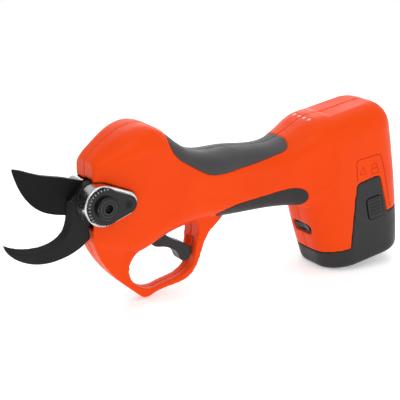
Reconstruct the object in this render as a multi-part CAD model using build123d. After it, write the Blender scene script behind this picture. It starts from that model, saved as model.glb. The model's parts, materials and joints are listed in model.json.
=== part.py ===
from build123d import *
import os
from math import acos, asin, cos, pi, radians, sin, tan

os.makedirs("parts", exist_ok=True)

# Battery electric pruner, in millimetres. The origin is on the blade pivot in the tool's
# mid-plane. +X runs back along the motor axis, +Z is up and -Y is the tool's left side,
# which carries the fixed hook blade and the lock plate. The blades point to -X.

# ---------------------------------------------------------------- driving dimensions
MOTOR_D = 30.0
MOTOR_L = 48.0
MOTOR_SHAFT_R = 1.6
GEARBOX_L = 28.0
CELL_D = 18.4
CELL_L = 65.0

WALL = 3.2                  # moulded shell, where it carries no rubber
GRIP_T = 1.4                # rubber let into the shell
MOTOR_SEAT = 1.8            # rib depth beside the motor
FIT = 0.05                  # radial clearance of running and located fits
GAP = 0.3                   # clearance between parts that only pass each other
SEAM = 0.25                 # visible joint between battery and housing

NOSE_X = -3.0               # front of the orange head
HEAD_HALF_WIDTH = 25.0
HEAD_TOP = 46.0
HANDLE_HALF_WIDTH = MOTOR_D / 2 + MOTOR_SEAT + WALL
HANDLE_TOP = 22.4
HANDLE_BOTTOM = -24.4
GEARBOX_X = 48.0
PLATE_T = 2.0
MOTOR_X = GEARBOX_X + GEARBOX_L + PLATE_T
MOTOR_REAR = MOTOR_X + MOTOR_L
HANDLE_REAR = MOTOR_REAR + 14.0

PIVOT_R = 5.0
BUSH_R = 7.0
HUB_R = 12.0
BLADE_T = 4.0
BLADE_Y = -3.7              # flat face of the cutting blade, towards the hook
BLADE_GAP = 0.2
HOOK_T = 4.1
HOOK_HUB_R = 14.0
HOOK_HUB_T = 6.1
BLADE_SWING = 50.0
BLADE_SIDE_Y = BLADE_Y + BLADE_T + 1.3      # far side of the blades' slot in the nose
BLADE_ROOM_Z = -19.0                        # low end of that slot, for the closed blade

BLOCK_T = 12.0
BLOCK_R = 13.4
BLOCK_TAIL_R = 8.0
BLOCK_TAIL_X = 15.2
LOCK_PLATE_T = 2.6
LOCK_TAIL_X = 15.0
PLATE_TEETH = 40

GEAR_TEETH = 48
PINION_TEETH = 12
GEAR_R = 20.0
GEAR_FACE = 7.0
SHAFT_R = 4.0
BEARING_R = 9.5
BEARING_W = 6.0
FRAME_RING_R = 15.8

RING_TEETH = 48
SUN_TEETH = 12
PLANET_TEETH = 18
PLANET_MODULE = 0.55
PLANET_W = 10.0

LEAN = 11.0                 # battery axis, leaning forward at the top
CELL_WALL = 1.7
CORE_HALF = CELL_D + 0.4 + CELL_WALL + 2.0
LATCH_ROOM = 2.5
HOUSING_HALF_WIDTH = CORE_HALF + LATCH_ROOM + WALL
BATTERY_RIM = 14.0
BATTERY_REAR_RIM = 29.0
CORE_FLOOR = 12.0
CORE_TOP = CORE_FLOOR + CELL_L + 7.0
BAY_TOP = CORE_TOP + 7.0
DOME_R = 18.0
DOME_S = BAY_TOP
HOUSING_TOP = DOME_S + DOME_R
BASE_X = HANDLE_REAR + 64.5
BASE_Z = -68.5
HOUSING_CORNER = 21.0
BASE_EDGE = 4.5

# ---------------------------------------------------------------- directions and helpers
LEAN_UP = Vector(-sin(radians(LEAN)), 0, cos(radians(LEAN)))
LEAN_BACK = Vector(cos(radians(LEAN)), 0, sin(radians(LEAN)))
BASE = Vector(BASE_X, 0, BASE_Z)
BIG = 400.0


def lean_point(s, v, y=0.0):
    """Point at height s up the battery axis and v behind it."""
    return BASE + LEAN_UP * s + LEAN_BACK * v + Vector(0, y, 0)


def lean_plane(s, v=0.0, y=0.0):
    """Plane across the battery axis: its x runs back, its y runs to +Y."""
    return Plane(origin=lean_point(s, v, y), x_dir=LEAN_BACK, z_dir=LEAN_UP)


def lean_box(v0, v1, y0, y1, s0, s1):
    """Box in the battery's own leaning directions."""
    plane = lean_plane(s0, (v0 + v1) / 2, (y0 + y1) / 2)
    return extrude(plane * Rectangle(v1 - v0, y1 - y0), s1 - s0)


def box(x0, x1, y0, y1, z0, z1):
    """Box between two corners."""
    centre = Pos((x0 + x1) / 2, (y0 + y1) / 2, (z0 + z1) / 2)
    return centre * Box(x1 - x0, y1 - y0, z1 - z0)


def rod_y(x, z, radius, y0, y1):
    """Cylinder along Y."""
    return Pos(x, (y0 + y1) / 2, z) * Rot(90, 0, 0) * Cylinder(radius, y1 - y0)


def rod_x(radius, x0, x1, y=0.0, z=0.0):
    """Cylinder along X."""
    return Pos((x0 + x1) / 2, y, z) * Rot(0, 90, 0) * Cylinder(radius, x1 - x0)


def prism(outline, y0, y1):
    """XZ outline drawn in x, y and given thickness between two Y planes."""
    return extrude(Plane.XZ.offset(-y1) * outline, y1 - y0)


def polygon(*points):
    """Straight-sided face."""
    return make_face(Polyline(*points, close=True))


def curve_face(*edges):
    """Face inside a closed chain of edges."""
    return make_face(Curve() + list(edges))


def left_of(solid):
    """The half on the tool's left."""
    return solid - box(-BIG, BIG, 0, BIG, -BIG, BIG)


def right_of(solid):
    """The half on the tool's right."""
    return solid - box(-BIG, BIG, -BIG, 0, -BIG, BIG)


def only(shape):
    """The largest solid, without slivers that a cut may leave."""
    return max(shape.solids(), key=lambda solid: solid.volume)


# ---------------------------------------------------------------- outer form
# Head and handle stations: x, top, bottom, half width above, half width below, corner radius.
BODY_STATIONS = (
    (NOSE_X, 25.5, -27.0, 12.9, 11.6, 6.0),
    (6.0, 34.0, -35.0, 18.2, 13.0, 10.5),
    (18.0, 42.0, -39.0, 22.8, 14.4, 12.5),
    (31.0, HEAD_TOP, -39.5, HEAD_HALF_WIDTH, 14.8, 13.5),
    (44.0, 42.5, -33.5, 24.0, 16.6, 15.0),
    (58.0, 32.0, -27.8, 21.8, 18.4, 15.6),
    (72.0, HANDLE_TOP + 1.4, -25.0, HANDLE_HALF_WIDTH + 0.4, 19.4, 15.8),
    (98.0, HANDLE_TOP, HANDLE_BOTTOM, HANDLE_HALF_WIDTH, HANDLE_HALF_WIDTH, 16.0),
    (HANDLE_REAR - 4, HANDLE_TOP, HANDLE_BOTTOM, HANDLE_HALF_WIDTH, HANDLE_HALF_WIDTH, 16.0),
    (HANDLE_REAR + 10, 28.6, HANDLE_BOTTOM - 1, HANDLE_HALF_WIDTH + 2.6, HANDLE_HALF_WIDTH + 2.6, 16.4),
    (HANDLE_REAR + 21, 34.4, HANDLE_BOTTOM - 3, HANDLE_HALF_WIDTH + 5.2, HANDLE_HALF_WIDTH + 5.2, 17.0),
    (HANDLE_REAR + 34, 36.8, HANDLE_BOTTOM - 4, HANDLE_HALF_WIDTH + 6.8, HANDLE_HALF_WIDTH + 6.8, 17.0),
)
# Battery housing stations up the leaning axis: s, front, rear, half width.
HOUSING_STATIONS = (
    (BASE_EDGE, -32.5, 33.0, HOUSING_HALF_WIDTH - 0.6),
    (30.0, -35.5, 35.8, HOUSING_HALF_WIDTH),
    (62.0, -36.5, 38.0, HOUSING_HALF_WIDTH + 0.2),
    (DOME_S, -31.0, 39.0, HOUSING_HALF_WIDTH + 0.2),
)
# Width of the trigger guard against height: z, half width.
GUARD_WIDTH = ((-14.0, 11.5), (-28.0, 10.6), (-45.0, 8.8), (-60.0, 6.2), (-76.0, 4.4))


def body_section(x, top, bottom, half_width, foot_width, corner, inset):
    """Rounded section across the motor axis, with its own width below."""
    width = half_width - inset
    foot = foot_width - inset
    outline = polygon((-width, top - inset), (width, top - inset), (foot, bottom + inset),
                      (-foot, bottom + inset))
    rounded = fillet(outline.vertices(), corner - inset)
    return Plane(origin=(x, 0, 0), x_dir=(0, 1, 0), z_dir=(1, 0, 0)) * rounded


def body_form(inset=0.0):
    """Head and handle, drawn in by the given depth."""
    form = loft([body_section(*station, inset) for station in BODY_STATIONS])
    if inset:
        form -= box(-BIG, NOSE_X + inset, -BIG, BIG, -BIG, BIG)
    return form


def housing_section(s, front, rear, half_width, inset):
    """Rounded section across the battery axis."""
    plane = lean_plane(s, (front + rear) / 2)
    length = rear - front - 2 * inset
    return plane * RectangleRounded(length, 2 * (half_width - inset), HOUSING_CORNER - inset)


def housing_form(inset=0.0):
    """Battery housing and battery together, drawn in by the given depth."""
    def section(station, rise=0.0, edge=0.0):
        return housing_section(station[0] + rise, *station[1:], inset + edge)
    first = HOUSING_STATIONS[0]
    last = HOUSING_STATIONS[-1]
    radius = DOME_R - inset
    foot = []
    for turn in (0, 30, 60):
        drop = BASE_EDGE * cos(radians(turn))
        foot.append(section(first, -drop, BASE_EDGE * (1 - sin(radians(turn)))))
    dome = []
    for turn in (15, 30, 45, 60, 75):
        rise = radius * sin(radians(turn))
        dome.append(section(last, rise, radius * (1 - cos(radians(turn)))))
    base = loft(foot + [section(first)], ruled=True)
    sides = loft([section(station) for station in HOUSING_STATIONS])
    crown = loft([section(last)] + dome, ruled=True)
    return base + sides + crown


def guard_form():
    """Trigger guard loop below the head, thick in front and a thin strap behind."""
    outer = Spline((-2.8, -26), (1.5, -37), (12, -52), (22, -61.5), (34, -71.5))
    tip = Spline((34, -71.5), (37.8, -72.8), (45, -70.2), (71, -62), (75.2, -55), (79, -41),
                 (84, -31.5), (92, -24), (96, -18))
    face = curve_face(outer, tip, Polyline((96, -18), (0, -18), (-2.8, -26)))
    window = Spline((60, -22), (45, -29), (31.5, -37), (24.3, -46), (24.5, -54.5), (35, -65.5),
                    (41, -67), (50, -65), (67, -59.6), (71.2, -55.5), (72.8, -44), (72.4, -24),
                    (66, -21), periodic=True)
    loop = prism(face - make_face(window), -BIG, BIG)
    near = [(-half, z) for z, half in GUARD_WIDTH]
    far = [(half, z) for z, half in reversed(GUARD_WIDTH)]
    width = make_face(Plane.YZ * Polyline(*near, *far, close=True))
    return loop & (Pos(-BIG / 4, 0, 0) * extrude(width, BIG))


def cavity_form():
    """Space inside the head, handle and housing shells."""
    housing = housing_form(WALL) - lean_box(-BIG, BIG, -BIG, BIG, -BIG, 0)
    return body_form(WALL) + housing


def seam_outline(clearance=0.0):
    """XZ outline of everything below the battery seam, with its side tongues."""
    def at(s, v):
        point = lean_point(s + clearance, v)
        return (point.X, point.Z)
    c = clearance
    front = at(BATTERY_RIM, -60)
    corner = at(BATTERY_RIM, -15)
    rear = at(BATTERY_REAR_RIM, 60)
    root = at(BATTERY_REAR_RIM + 2.5, 18.5)
    left_top = at(BATTERY_RIM + 45, -3.2)
    right_top = at(BATTERY_RIM + 46, 16.0)
    outline = polygon(front, (corner[0] - c, corner[1]), (left_top[0] - c, left_top[1]),
                      (right_top[0] + c, right_top[1]), (root[0] + c, root[1]), rear,
                      (rear[0], -BIG / 2), (front[0], -BIG / 2))
    tops = outline.vertices().sort_by(Axis.Y)[-2:]
    return fillet(tops, 3.5)


def below_seam(clearance=0.0):
    """Solid below the battery seam."""
    return prism(seam_outline(clearance), -BIG / 4, BIG / 4)


# ---------------------------------------------------------------- gears
PRESSURE = radians(20)
BACKLASH = 0.1


def involute(angle):
    """Involute function of an angle in radians."""
    return tan(angle) - angle


def gear_face(teeth, pitch_r, tip_r, root_r, backlash=BACKLASH):
    """Toothed outline with a tooth on the local x axis."""
    base_r = pitch_r * cos(PRESSURE)
    half_pitch = pi / (2 * teeth) - backlash / (2 * pitch_r)

    def half_angle(r):
        return half_pitch + involute(PRESSURE) - involute(acos(min(1.0, base_r / r)))
    radii = (root_r, max(pitch_r, base_r), tip_r)
    points = []
    for tooth in range(teeth):
        centre = 2 * pi * tooth / teeth
        flank = [(r, centre - half_angle(r)) for r in radii]
        flank += [(r, centre + half_angle(r)) for r in reversed(radii)]
        points += [(r * cos(turn), r * sin(turn)) for r, turn in flank]
    return polygon(*points)


ACROSS_X = Plane(origin=(0, 0, 0), x_dir=(0, 1, 0), z_dir=(1, 0, 0))
SECTOR_START = -BLADE_SWING - 16.0
SECTOR_END = 14.0
PINION_PITCH_R = GEAR_R * PINION_TEETH / GEAR_TEETH
PINION_TIP = 0.75
PINION_ROOT = 0.95
GEAR_BACK_Y = PINION_PITCH_R + 5.0
GEAR_TIP = 0.5
GEAR_ROOT = 1.1
CONE_SHARE = (GEAR_R - GEAR_FACE) / GEAR_R


def cone_tooth(face):
    """Solid between a face on the large end of the cone and its smaller copy."""
    large = Pos(GEAR_R, 0, 0) * face
    small = Pos(GEAR_R * CONE_SHARE, 0, 0) * scale(face, CONE_SHARE)
    return loft([small, large], ruled=True)


def bevel_pinion():
    """Small bevel gear in one piece with its output shaft."""
    face = gear_face(PINION_TEETH, PINION_PITCH_R, PINION_PITCH_R + PINION_TIP,
                     PINION_PITCH_R - PINION_ROOT)
    gear = cone_tooth(ACROSS_X * face)
    collar = rod_x(PINION_PITCH_R, GEAR_R, GEAR_R + 4)
    shaft = rod_x(SHAFT_R, GEAR_R + 4, GEARBOX_X + 7)
    return only(gear + collar + shaft)


def gear_sector():
    """Bevel gear segment that turns the blade, with its round hub."""
    pitch = 360 / GEAR_TEETH
    half = pi * GEAR_R / (2 * GEAR_TEETH) - BACKLASH / 2
    tip_y = PINION_PITCH_R - GEAR_TIP
    root_y = PINION_PITCH_R + GEAR_ROOT
    deep_y = root_y + 0.6
    tip_half = half - GEAR_TIP * tan(PRESSURE)
    root_half = half + GEAR_ROOT * tan(PRESSURE)
    face = polygon((tip_y, -tip_half), (root_y, -root_half), (deep_y, -root_half),
                   (deep_y, root_half), (root_y, root_half), (tip_y, tip_half))
    tooth = cone_tooth(ACROSS_X * face)
    inner_r = GEAR_R * CONE_SHARE
    hub_r = HUB_R - 0.6
    rim = polygon((hub_r - 1, root_y * CONE_SHARE), (inner_r, root_y * CONE_SHARE),
                  (GEAR_R, root_y), (GEAR_R, GEAR_BACK_Y), (hub_r - 1, GEAR_BACK_Y))
    rim = revolve(Plane.XY * rim, Axis.Y, 360)
    reach = 2 * GEAR_R
    wedge = polygon((0, 0), *[(reach * cos(radians(turn)), reach * sin(radians(turn)))
                              for turn in (SECTOR_START, -40, -12, SECTOR_END)])
    solid = rim & prism(wedge, -BIG, BIG)
    angle = -pitch / 2
    while angle > SECTOR_START + pitch / 2:
        solid += Rot(0, -angle, 0) * tooth
        angle -= pitch
    solid += Rot(0, -pitch / 2, 0) * tooth
    solid += rod_y(0, 0, hub_r, BLADE_Y + BLADE_T, GEAR_BACK_Y)
    solid -= rod_y(0, 0, BUSH_R, -BIG, BIG)
    return only(solid - drive_pin_solids(FIT))


DRIVE_PIN_R = 1.2
DRIVE_PIN_RING = 9.4


def drive_pin_solids(clearance=0.0):
    """Dowels that carry the gear's turn into the blade."""
    pins = [rod_y(DRIVE_PIN_RING * cos(radians(turn)), DRIVE_PIN_RING * sin(radians(turn)),
                  DRIVE_PIN_R + clearance, BLADE_Y + 0.5, BLADE_Y + BLADE_T + 4)
            for turn in (90, 210, 330)]
    return Part() + pins


PLANET_RING_R = PLANET_MODULE * (SUN_TEETH + PLANET_TEETH) / 2
RING_R = RING_TEETH * PLANET_MODULE / 2
GEARBOX_R = RING_R + 2.3
PLANET_X = GEARBOX_X + 12.0
PLANET_PIN_R = 1.5
CARRIER_X = GEARBOX_X + 7.0
CARRIER_T = 3.5


def spur(teeth, bore):
    """Planetary gear along the motor axis, with a tooth towards +Y."""
    pitch_r = teeth * PLANET_MODULE / 2
    face = gear_face(teeth, pitch_r, pitch_r + 0.85 * PLANET_MODULE, pitch_r - PLANET_MODULE)
    gear = extrude(ACROSS_X.offset(PLANET_X) * face, PLANET_W)
    return gear - rod_x(bore, -BIG, BIG)


def ring_gear():
    """Gearbox casing with its internal teeth."""
    space = gear_face(RING_TEETH, RING_R, RING_R + PLANET_MODULE,
                      RING_R - 0.8 * PLANET_MODULE, -BACKLASH)
    half_pitch = 180 / RING_TEETH
    hole = extrude(ACROSS_X.offset(PLANET_X - 2) * Rot(0, 0, half_pitch) * space, PLANET_W + 4)
    casing = rod_x(GEARBOX_R, GEARBOX_X, GEARBOX_X + GEARBOX_L)
    casing -= rod_x(RING_R, GEARBOX_X - 1, PLANET_X - 2)
    casing -= rod_x(RING_R, PLANET_X + PLANET_W + 2, GEARBOX_X + GEARBOX_L + 1)
    return only(casing - hole)


def planet_place(index):
    """Y and Z of a planet's axis."""
    turn = radians(120 * index)
    return PLANET_RING_R * cos(turn), PLANET_RING_R * sin(turn)


def planet_gear(index):
    """One planet, meshed with the sun and the ring."""
    gear = Rot(180 / PLANET_TEETH, 0, 0) * spur(PLANET_TEETH, PLANET_PIN_R + FIT)
    return only(Rot(120 * index, 0, 0) * Pos(0, PLANET_RING_R, 0) * gear)


def planet_carrier():
    """Disc and pins that the planets turn on, pressed on the pinion shaft."""
    disc = rod_x(PLANET_RING_R + 3.6, CARRIER_X, CARRIER_X + CARRIER_T)
    hub = rod_x(SHAFT_R + 2.4, CARRIER_X - 4, CARRIER_X)
    disc = disc + hub - rod_x(SHAFT_R, CARRIER_X - 5, CARRIER_X)
    for index in range(3):
        y, z = planet_place(index)
        disc += rod_x(PLANET_PIN_R, CARRIER_X, PLANET_X + PLANET_W + 1, y, z)
    return only(disc)


# ---------------------------------------------------------------- blades and head frame
HOOK_Y = BLADE_Y - BLADE_GAP
BLOCK_FACE_Y = HOOK_Y - HOOK_HUB_T - BLOCK_T
BLOCK_BACK_Y = HOOK_Y - HOOK_HUB_T
FAR_PLATE_Y = GEAR_BACK_Y + 1.0
FAR_PLATE_T = 4.0
BLADE_EDGE = ((-54.0, 26.2), (-51.0, 16.8), (-43.7, 4.4), (-35.9, -2.4), (-27.9, -5.8),
              (-19.0, -7.6))
HOOK_EDGE = ((-61.5, -20.2), (-54.6, -23.2), (-41.4, -25.1), (-29.1, -22.7), (-22.1, -17.3),
             (-19.2, -9.0), (-17.6, 2.0))


def teardrop(margin=0.0):
    """Outline of the block round the pivot, with its tail to the rear."""
    front_r = BLOCK_R + margin
    tail_r = BLOCK_TAIL_R + margin
    turn = asin((front_r - tail_r) / BLOCK_TAIL_X)
    flank = [(front_r * sin(turn), front_r * cos(turn)),
             (BLOCK_TAIL_X + tail_r * sin(turn), tail_r * cos(turn))]
    mirror_flank = [(x, -z) for x, z in reversed(flank)]
    web = polygon(*flank, *mirror_flank)
    return web + Circle(front_r) + Pos(BLOCK_TAIL_X, 0) * Circle(tail_r)


def bevel_cut(edge_points, inwards, flat_y, thickness, width):
    """Wedge that grinds a blade from its flat side's edge up to its full thickness."""
    path = Plane.XZ.offset(-flat_y) * Spline(*edge_points)
    side = 1 if thickness > 0 else -1
    tangent = path % 0
    into = tangent.cross(Vector(0, inwards, 0)).normalized()
    section = Plane(origin=path @ 0, x_dir=into, z_dir=tangent)
    rise = 1 if section.y_dir.Y * side > 0 else -1
    depth = abs(thickness) + 1
    wedge = section * polygon((0, 0), (-3, 0), (-3, rise * depth),
                              (width * depth / abs(thickness), rise * depth))
    return sweep(wedge, path) + extrude(wedge, -3)


def cutting_blade():
    """Moving upper blade, flat towards the hook and ground on its far side."""
    edge = Spline(*BLADE_EDGE)
    back = Spline((-1.3, 11.6), (-8.1, 13.5), (-19.0, 16.9), (-35.1, 20.6), (-47.0, 25.0),
                  (-53.3, 27.2))
    tip = Line((-53.3, 27.2), (-54.0, 26.2))
    root = Polyline((-19.0, -7.6), (0, -11.6), (3, 0), (-1.3, 11.6))
    outline = curve_face(edge, tip, back, root)
    blade = prism(outline, BLADE_Y, BLADE_Y + BLADE_T)
    blade -= bevel_cut(BLADE_EDGE, 1, BLADE_Y, BLADE_T - 0.4, 6.5)
    blade += rod_y(0, 0, HUB_R, BLADE_Y, BLADE_Y + BLADE_T)
    blade -= rod_y(0, 0, BUSH_R, -BIG, BIG)
    return only(blade - drive_pin_solids(FIT))


HOOK_SCREW_R = 1.7
HOOK_SCREW_RING = 9.4
HOOK_SCREW_TURNS = (100, 220, 340)
COUNTERSINK_T = 2.0


def hook_screw_solids(clearance=0.0):
    """Countersunk screws from the block's face into the hook."""
    screws = Part()
    for turn in HOOK_SCREW_TURNS:
        x = HOOK_SCREW_RING * cos(radians(turn))
        z = HOOK_SCREW_RING * sin(radians(turn))
        head = Pos(x, BLOCK_FACE_Y + COUNTERSINK_T / 2, z) * Rot(90, 0, 0) * Cone(
            HOOK_SCREW_R + clearance, HOOK_SCREW_R + 1.4 + clearance, COUNTERSINK_T)
        screws += head
        screws += rod_y(x, z, HOOK_SCREW_R + clearance, BLOCK_FACE_Y + 1, HOOK_Y - 1.2)
    return screws


def hook_blade():
    """Fixed lower hook with its round boss on the pivot."""
    edge = Spline(*HOOK_EDGE)
    back = Spline((-61.5, -20.2), (-60.2, -24.0), (-52.0, -31.4), (-38.0, -35.7), (-24.0, -34.6),
                  (-12.6, -30.4), (-3.8, -24.0))
    heel = Polyline((-3.8, -24.0), (-4.6, -16.5), (0, -13.0), (4, 0), (-6, 12.6), (-17.6, 2.0))
    hook = prism(curve_face(edge, back, heel), HOOK_Y - HOOK_T, HOOK_Y)
    hook -= bevel_cut(HOOK_EDGE, -1, HOOK_Y, -HOOK_T, 3.0)
    hook += rod_y(0, 0, HOOK_HUB_R, BLOCK_BACK_Y, HOOK_Y)
    hook -= rod_y(0, 0, PIVOT_R + FIT, -BIG, BIG)
    return only(hook - hook_screw_solids(FIT))


FRAME_RING_X = GEARBOX_X - 14.0
ARM_HALF = 7.0
ARM_Y = 13.4                # outer face of the arms that join the block to the ring
LOCK_PLATE_Y = BLOCK_FACE_Y - 0.1
LOCK_SCREW_R = 1.5


def head_frame():
    """Polished casting: near block, far plate and the ring that holds the bearings."""
    frame = prism(teardrop(), BLOCK_FACE_Y, BLOCK_BACK_Y)
    face_rim = frame.edges().group_by(Axis.Y)[0]
    frame = chamfer(face_rim, 0.5)
    frame += prism(teardrop(), FAR_PLATE_Y, FAR_PLATE_Y + FAR_PLATE_T)
    nose = rod_y(0, 0, BLOCK_R, 0.9, FAR_PLATE_Y) - rod_y(0, 0, HUB_R, 0, FAR_PLATE_Y)
    frame += nose - box(NOSE_X, BIG, -BIG, BIG, -BIG, BIG)
    ring = rod_x(FRAME_RING_R, FRAME_RING_X, GEARBOX_X)
    near_arm = box(BLOCK_TAIL_X, FRAME_RING_X + 2, -ARM_Y, BLOCK_BACK_Y, -ARM_HALF, ARM_HALF)
    far_arm = box(BLOCK_TAIL_X, FRAME_RING_X + 2, FAR_PLATE_Y, ARM_Y, -ARM_HALF, ARM_HALF)
    frame += near_arm + far_arm + ring
    frame -= rod_x(BEARING_R + FIT, FRAME_RING_X - 1, GEARBOX_X + 1)
    frame -= rod_y(0, 0, PIVOT_R + FIT, -BIG, BIG)
    frame -= rod_y(LOCK_TAIL_X, 0, LOCK_SCREW_R + FIT, BLOCK_FACE_Y - 1, BLOCK_FACE_Y + 8)
    return only(frame - hook_screw_solids(FIT))


def lock_plate():
    """Serrated teardrop plate that keeps the pivot bolt from turning."""
    points = []
    for tooth in range(PLATE_TEETH):
        for share, radius in ((0.0, BLOCK_R - 1.3), (0.5, BLOCK_R - 2.0)):
            turn = 2 * pi * (tooth + share) / PLATE_TEETH
            points.append((radius * cos(turn), radius * sin(turn)))
    outline = polygon(*points) + (teardrop(-2.0) & Pos(BIG / 2 + 1, 0) * Rectangle(BIG, BIG))
    plate = prism(outline, LOCK_PLATE_Y - LOCK_PLATE_T, LOCK_PLATE_Y)
    plate -= rod_y(0, 0, PIVOT_R + FIT, -BIG, BIG)
    plate -= rod_y(LOCK_TAIL_X, 0, LOCK_SCREW_R + 1.0 + FIT, -BIG, LOCK_PLATE_Y - 1.0)
    return only(plate - rod_y(LOCK_TAIL_X, 0, LOCK_SCREW_R + FIT, -BIG, BIG))


def lock_screw():
    """Small socket screw in the tail of the lock plate."""
    face_y = LOCK_PLATE_Y - LOCK_PLATE_T + 0.4
    screw = rod_y(LOCK_TAIL_X, 0, LOCK_SCREW_R + 1.0, face_y, LOCK_PLATE_Y - 1.0)
    screw += rod_y(LOCK_TAIL_X, 0, LOCK_SCREW_R, LOCK_PLATE_Y - 1.0, BLOCK_FACE_Y + 7)
    socket = Pos(LOCK_TAIL_X, 0) * RegularPolygon(1.15, 6)
    return only(screw - prism(socket, face_y - 1, face_y + 0.9))


BOLT_HEAD_R = 7.4
BOLT_HEAD_T = 3.4
BOLT_FACE_Y = LOCK_PLATE_Y - LOCK_PLATE_T - BOLT_HEAD_T
NUT_T = 4.0
NUT_R = 8.6
NUT_Y = FAR_PLATE_Y + FAR_PLATE_T


def pivot_bolt():
    """Bolt through the whole blade stack, with a ringed head and hexagon socket."""
    head = rod_y(0, 0, BOLT_HEAD_R, BOLT_FACE_Y, LOCK_PLATE_Y - LOCK_PLATE_T)
    head = chamfer(head.edges().group_by(Axis.Y)[0], 0.6)
    bolt = head + rod_y(0, 0, PIVOT_R, BOLT_FACE_Y + 1, NUT_Y + NUT_T + 0.8)
    return only(bolt - prism(RegularPolygon(3.4, 6), BOLT_FACE_Y - 1, BOLT_FACE_Y + 3.5))


def pivot_nut():
    """Hexagon nut on the far end of the bolt."""
    nut = prism(RegularPolygon(NUT_R, 6), NUT_Y, NUT_Y + NUT_T)
    return only(nut - rod_y(0, 0, PIVOT_R, -BIG, BIG))


def pivot_bush():
    """Bronze bush between the bolt and the turning blade and gear."""
    bush = rod_y(0, 0, BUSH_R - FIT, BLADE_Y, GEAR_BACK_Y + 0.7)
    return only(bush - rod_y(0, 0, PIVOT_R + 0.02, -BIG, BIG))


def pinion_bearings():
    """Two ball bearings of the output shaft."""
    bearings = Part()
    for x in (FRAME_RING_X + 0.5, GEARBOX_X - 0.5 - BEARING_W):
        race = rod_x(BEARING_R, x, x + BEARING_W) - rod_x(SHAFT_R + FIT, x - 1, x + BEARING_W + 1)
        groove = rod_x(BEARING_R - 1.6, x - 1, x + 0.3) - rod_x(SHAFT_R + 1.4, x - 1, x + 0.3)
        bearings += race - groove
    return bearings


# ---------------------------------------------------------------- motor
CAP_T = 3.0
SHAFT_END = GEARBOX_X + 11.0
CAN_WALL = 1.2
MAGNET_R = 7.6


def motor_plate():
    """Plate between gearbox and motor."""
    plate = rod_x(GEARBOX_R, MOTOR_X - PLATE_T, MOTOR_X)
    return only(plate - rod_x(3.0, -BIG, BIG))


def motor_can():
    """Steel can, closed at the front round a bearing seat."""
    can = rod_x(MOTOR_D / 2, MOTOR_X, MOTOR_REAR)
    can -= rod_x(MOTOR_D / 2 - CAN_WALL, MOTOR_X + 2.5, MOTOR_REAR + 1)
    for turn in range(0, 360, 90):
        slot = Rot(turn + 45, 0, 0) * Pos(MOTOR_REAR - 7, 0, MOTOR_D / 2) * Box(5, 7, 6)
        can -= slot
    return only(can - rod_x(3.5, MOTOR_X - 1, MOTOR_X + 3))


def motor_end_cap():
    """Rear cap of the motor with its bearing seat."""
    cap = rod_x(MOTOR_D / 2, MOTOR_REAR, MOTOR_REAR + CAP_T)
    return only(cap - rod_x(3.5, MOTOR_REAR - 1, MOTOR_REAR + CAP_T + 1))


def motor_bearings():
    """Small bearings at both ends of the rotor."""
    bearings = Part()
    for x in (MOTOR_X + 0.2, MOTOR_REAR + 0.4):
        bearings += rod_x(3.5, x, x + 2.2) - rod_x(MOTOR_SHAFT_R + FIT, x - 1, x + 3)
    return bearings


def motor_stator():
    """Stator ring with nine wound poles."""
    start = MOTOR_X + 8
    end = MOTOR_REAR - 9
    ring_r = MOTOR_D / 2 - CAN_WALL
    stator = rod_x(ring_r, start, end) - rod_x(ring_r - 2.2, start - 1, end + 1)
    reach = ring_r - 1 - MAGNET_R - 0.5
    for pole in range(9):
        arm = Pos((start + end) / 2, 0, ring_r - 1 - reach / 2) * Box(end - start, 3.2, reach)
        stator += Rot(pole * 40, 0, 0) * arm
    return only(stator - rod_x(MAGNET_R + 0.5, start - 1, end + 1))


def motor_rotor():
    """Magnet rotor on its shaft, which carries the sun gear in front."""
    rotor = rod_x(MAGNET_R, MOTOR_X + 9, MOTOR_REAR - 10)
    return only(rotor + rod_x(MOTOR_SHAFT_R, SHAFT_END, MOTOR_REAR + CAP_T - 0.4))


# ---------------------------------------------------------------- trigger
TRIGGER_X = 46.0
TRIGGER_Z = -27.0
TRIGGER_PIN_R = 1.5
TRIGGER_HUB_R = 4.8
TRIGGER_HALF = 5.0
TRIGGER_SWING = 12.0
SPRING_Y = 1.2
MAGNET_X = 62.5
MAGNET_Z = -40.6
MAGNET_PIN_R = 1.5


# Trigger outline, from its hub round the finger hook and back: x, z.
TRIGGER_FRONT = ((41.3, -28.2), (40.7, -34.0), (44.0, -38.2))
TRIGGER_FINGER = ((50.5, -39.6), (57.0, -42.2), (61.8, -46.8), (63.6, -50.6), (66.2, -52.2))
TRIGGER_END = ((69.0, -51.2), (71.3, -47.4), (71.6, -43.2))
TRIGGER_BACK = ((65.7, -39.3), (59.6, -36.4), (54.5, -33.4), (50.6, -28.6))


def trigger_outline():
    """Side view of the trigger, from its hub to the finger hook."""
    finger = Spline(*TRIGGER_FRONT, *TRIGGER_FINGER, *TRIGGER_END)
    back = Spline(TRIGGER_END[-1], *TRIGGER_BACK)
    hub = Polyline(TRIGGER_BACK[-1], (TRIGGER_X, TRIGGER_Z + 1.5), TRIGGER_FRONT[0])
    return curve_face(finger, back, hub)


def pulled(point):
    """Place of a trigger point when the trigger is fully pulled."""
    x = point[0] - TRIGGER_X
    z = point[1] - TRIGGER_Z
    turn = radians(TRIGGER_SWING)
    return (TRIGGER_X + x * cos(turn) - z * sin(turn), TRIGGER_Z + z * cos(turn) + x * sin(turn))


def trigger_room(clearance=0.8):
    """Straight-sided room for the trigger through its whole travel."""
    swept = [*TRIGGER_FRONT, TRIGGER_FINGER[-1], TRIGGER_END[0]]
    swept += [pulled(point) for point in (*TRIGGER_END, *TRIGGER_BACK)]
    outline = offset(polygon(*swept), amount=clearance, kind=Kind.INTERSECTION)
    half = TRIGGER_HALF + GAP
    hub = rod_y(TRIGGER_X, TRIGGER_Z, TRIGGER_HUB_R + GAP, -half, half)
    return prism(outline, -half, half) + hub


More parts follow.
